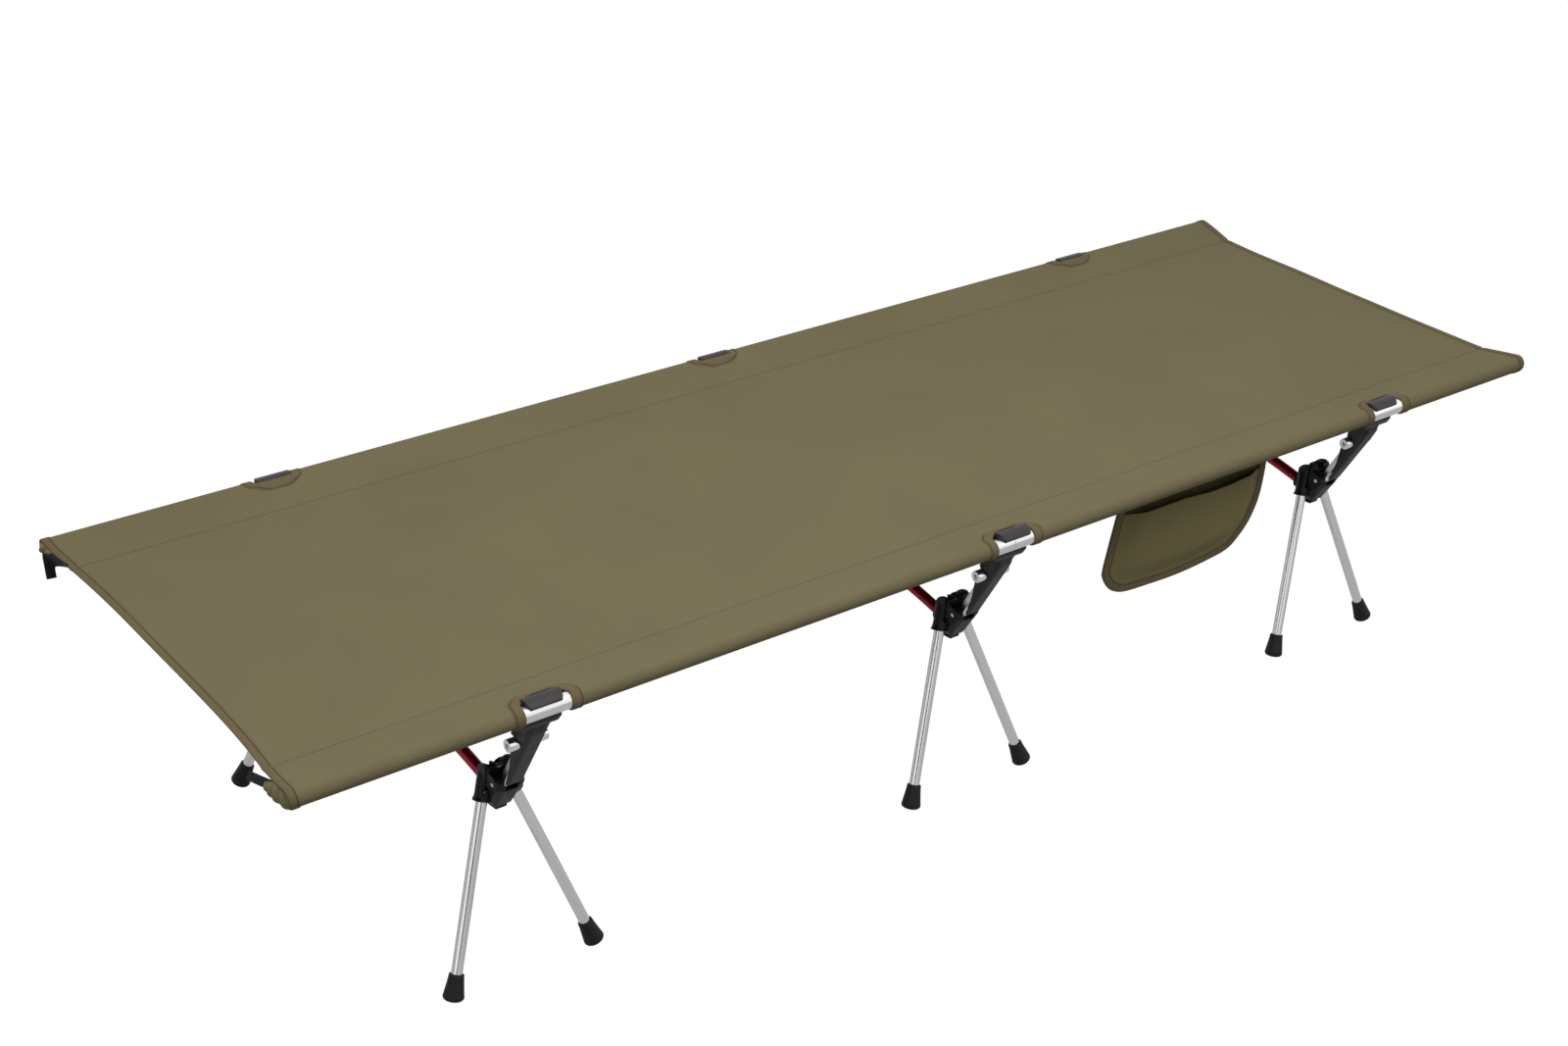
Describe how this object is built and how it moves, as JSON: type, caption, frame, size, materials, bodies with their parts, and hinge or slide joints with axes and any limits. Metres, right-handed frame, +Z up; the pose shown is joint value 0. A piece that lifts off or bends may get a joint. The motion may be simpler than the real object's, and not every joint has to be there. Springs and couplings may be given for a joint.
{
  "type": "camping cot",
  "caption": "Low camp cot: taut fabric bed sleeved over side poles, on arched cross tubes with splayed plug-in legs and folding lever tensioners, and a pocket hung from one side seam.",
  "frame": {"origin": "on the floor, under the middle of the bed", "axes": "+X along the bed towards the far end, +Y towards the back side, +Z up; the pocket is on the -Y side"},
  "size_m": [1.9, 0.6346, 0.3862],
  "materials": {
    "bed_cloth": "taut olive-brown coated polyester cloth, plain weave, matt",
    "pocket_cloth": "the same cloth seen in shade, edges bound with brown tape",
    "pole_metal": "bright drawn aluminium tube",
    "leg_metal": "clear anodised drawn aluminium tube",
    "cross_tube_metal": "red anodised bent aluminium tube",
    "link_metal": "satin aluminium bar with rounded ends",
    "pin_metal": "bright turned barrel pin with hexagon sockets",
    "hub_plastic": "black moulded glass-filled plastic, fine grain",
    "lever_plastic": "charcoal moulded plastic, fine grain",
    "foot_rubber": "black moulded rubber foot"
  },
  "bodies": {
    "frame": {"bed_fabric": "bed_cloth", "storage_pocket": "pocket_cloth", "side_pole_front_near": "pole_metal", "side_pole_front_far": "pole_metal", "side_pole_back_near": "pole_metal", "side_pole_back_far": "pole_metal", "pole_ferrule_front": "pole_metal", "pole_ferrule_back": "pole_metal", "cross_tube_near": "cross_tube_metal", "cross_tube_middle": "cross_tube_metal", "cross_tube_far": "cross_tube_metal", "hub_front_near": "hub_plastic", "hub_front_middle": "hub_plastic", "hub_front_far": "hub_plastic", "hub_back_near": "hub_plastic", "hub_back_middle": "hub_plastic", "hub_back_far": "hub_plastic", "leg_front_near_a": "leg_metal", "leg_front_near_b": "leg_metal", "leg_front_middle_a": "leg_metal", "leg_front_middle_b": "leg_metal", "leg_front_far_a": "leg_metal", "leg_front_far_b": "leg_metal", "leg_back_near_a": "leg_metal", "leg_back_near_b": "leg_metal", "leg_back_middle_a": "leg_metal", "leg_back_middle_b": "leg_metal", "leg_back_far_a": "leg_metal", "leg_back_far_b": "leg_metal", "foot_front_near_a": "foot_rubber", "foot_front_near_b": "foot_rubber", "foot_front_middle_a": "foot_rubber", "foot_front_middle_b": "foot_rubber", "foot_front_far_a": "foot_rubber", "foot_front_far_b": "foot_rubber", "foot_back_near_a": "foot_rubber", "foot_back_near_b": "foot_rubber", "foot_back_middle_a": "foot_rubber", "foot_back_middle_b": "foot_rubber", "foot_back_far_a": "foot_rubber", "foot_back_far_b": "foot_rubber"},
    "tensioner_link_front_near": {"link_front_near": "link_metal"},
    "tensioner_link_front_middle": {"link_front_middle": "link_metal"},
    "tensioner_link_front_far": {"link_front_far": "link_metal"},
    "tensioner_link_back_near": {"link_back_near": "link_metal"},
    "tensioner_link_back_middle": {"link_back_middle": "link_metal"},
    "tensioner_link_back_far": {"link_back_far": "link_metal"},
    "tensioner_lever_front_near": {"lever_front_near": "lever_plastic", "lever_pin_front_near": "pin_metal"},
    "tensioner_lever_front_middle": {"lever_front_middle": "lever_plastic", "lever_pin_front_middle": "pin_metal"},
    "tensioner_lever_front_far": {"lever_front_far": "lever_plastic", "lever_pin_front_far": "pin_metal"},
    "tensioner_lever_back_near": {"lever_back_near": "lever_plastic", "lever_pin_back_near": "pin_metal"},
    "tensioner_lever_back_middle": {"lever_back_middle": "lever_plastic", "lever_pin_back_middle": "pin_metal"},
    "tensioner_lever_back_far": {"lever_back_far": "lever_plastic", "lever_pin_back_far": "pin_metal"}
  },
  "joints": [
    {"name": "link_hinge_front_near", "type": "hinge", "parent": "frame", "child": "tensioner_link_front_near", "pos_m": [-0.659, -0.22904, 0.24092], "axis": [1, 0, 0], "range_deg": [0, 46]},
    {"name": "link_hinge_front_middle", "type": "hinge", "parent": "frame", "child": "tensioner_link_front_middle", "pos_m": [0, -0.22904, 0.24092], "axis": [1, 0, 0], "range_deg": [0, 46]},
    {"name": "link_hinge_front_far", "type": "hinge", "parent": "frame", "child": "tensioner_link_front_far", "pos_m": [0.659, -0.22904, 0.24092], "axis": [1, 0, 0], "range_deg": [0, 46]},
    {"name": "link_hinge_back_near", "type": "hinge", "parent": "frame", "child": "tensioner_link_back_near", "pos_m": [-0.659, 0.22904, 0.24092], "axis": [-1, 0, 0], "range_deg": [0, 46]},
    {"name": "link_hinge_back_middle", "type": "hinge", "parent": "frame", "child": "tensioner_link_back_middle", "pos_m": [0, 0.22904, 0.24092], "axis": [-1, 0, 0], "range_deg": [0, 46]},
    {"name": "link_hinge_back_far", "type": "hinge", "parent": "frame", "child": "tensioner_link_back_far", "pos_m": [0.659, 0.22904, 0.24092], "axis": [-1, 0, 0], "range_deg": [0, 46]},
    {"name": "lever_hinge_front_near", "type": "hinge", "parent": "tensioner_link_front_near", "child": "tensioner_lever_front_near", "pos_m": [-0.659, -0.271, 0.31599], "axis": [-1, 0, 0], "range_deg": [0, 130]},
    {"name": "lever_hinge_front_middle", "type": "hinge", "parent": "tensioner_link_front_middle", "child": "tensioner_lever_front_middle", "pos_m": [0, -0.271, 0.31599], "axis": [-1, 0, 0], "range_deg": [0, 130]},
    {"name": "lever_hinge_front_far", "type": "hinge", "parent": "tensioner_link_front_far", "child": "tensioner_lever_front_far", "pos_m": [0.659, -0.271, 0.31599], "axis": [-1, 0, 0], "range_deg": [0, 130]},
    {"name": "lever_hinge_back_near", "type": "hinge", "parent": "tensioner_link_back_near", "child": "tensioner_lever_back_near", "pos_m": [-0.659, 0.271, 0.31599], "axis": [1, 0, 0], "range_deg": [0, 130]},
    {"name": "lever_hinge_back_middle", "type": "hinge", "parent": "tensioner_link_back_middle", "child": "tensioner_lever_back_middle", "pos_m": [0, 0.271, 0.31599], "axis": [1, 0, 0], "range_deg": [0, 130]},
    {"name": "lever_hinge_back_far", "type": "hinge", "parent": "tensioner_link_back_far", "child": "tensioner_lever_back_far", "pos_m": [0.659, 0.271, 0.31599], "axis": [1, 0, 0], "range_deg": [0, 130]}
  ],
  "couplings": [
    {"joint": "lever_hinge_front_near", "follows": "link_hinge_front_near", "ratio": 2.8},
    {"joint": "lever_hinge_front_middle", "follows": "link_hinge_front_middle", "ratio": 2.8},
    {"joint": "lever_hinge_front_far", "follows": "link_hinge_front_far", "ratio": 2.8},
    {"joint": "lever_hinge_back_near", "follows": "link_hinge_back_near", "ratio": 2.8},
    {"joint": "lever_hinge_back_middle", "follows": "link_hinge_back_middle", "ratio": 2.8},
    {"joint": "lever_hinge_back_far", "follows": "link_hinge_back_far", "ratio": 2.8}
  ]
}
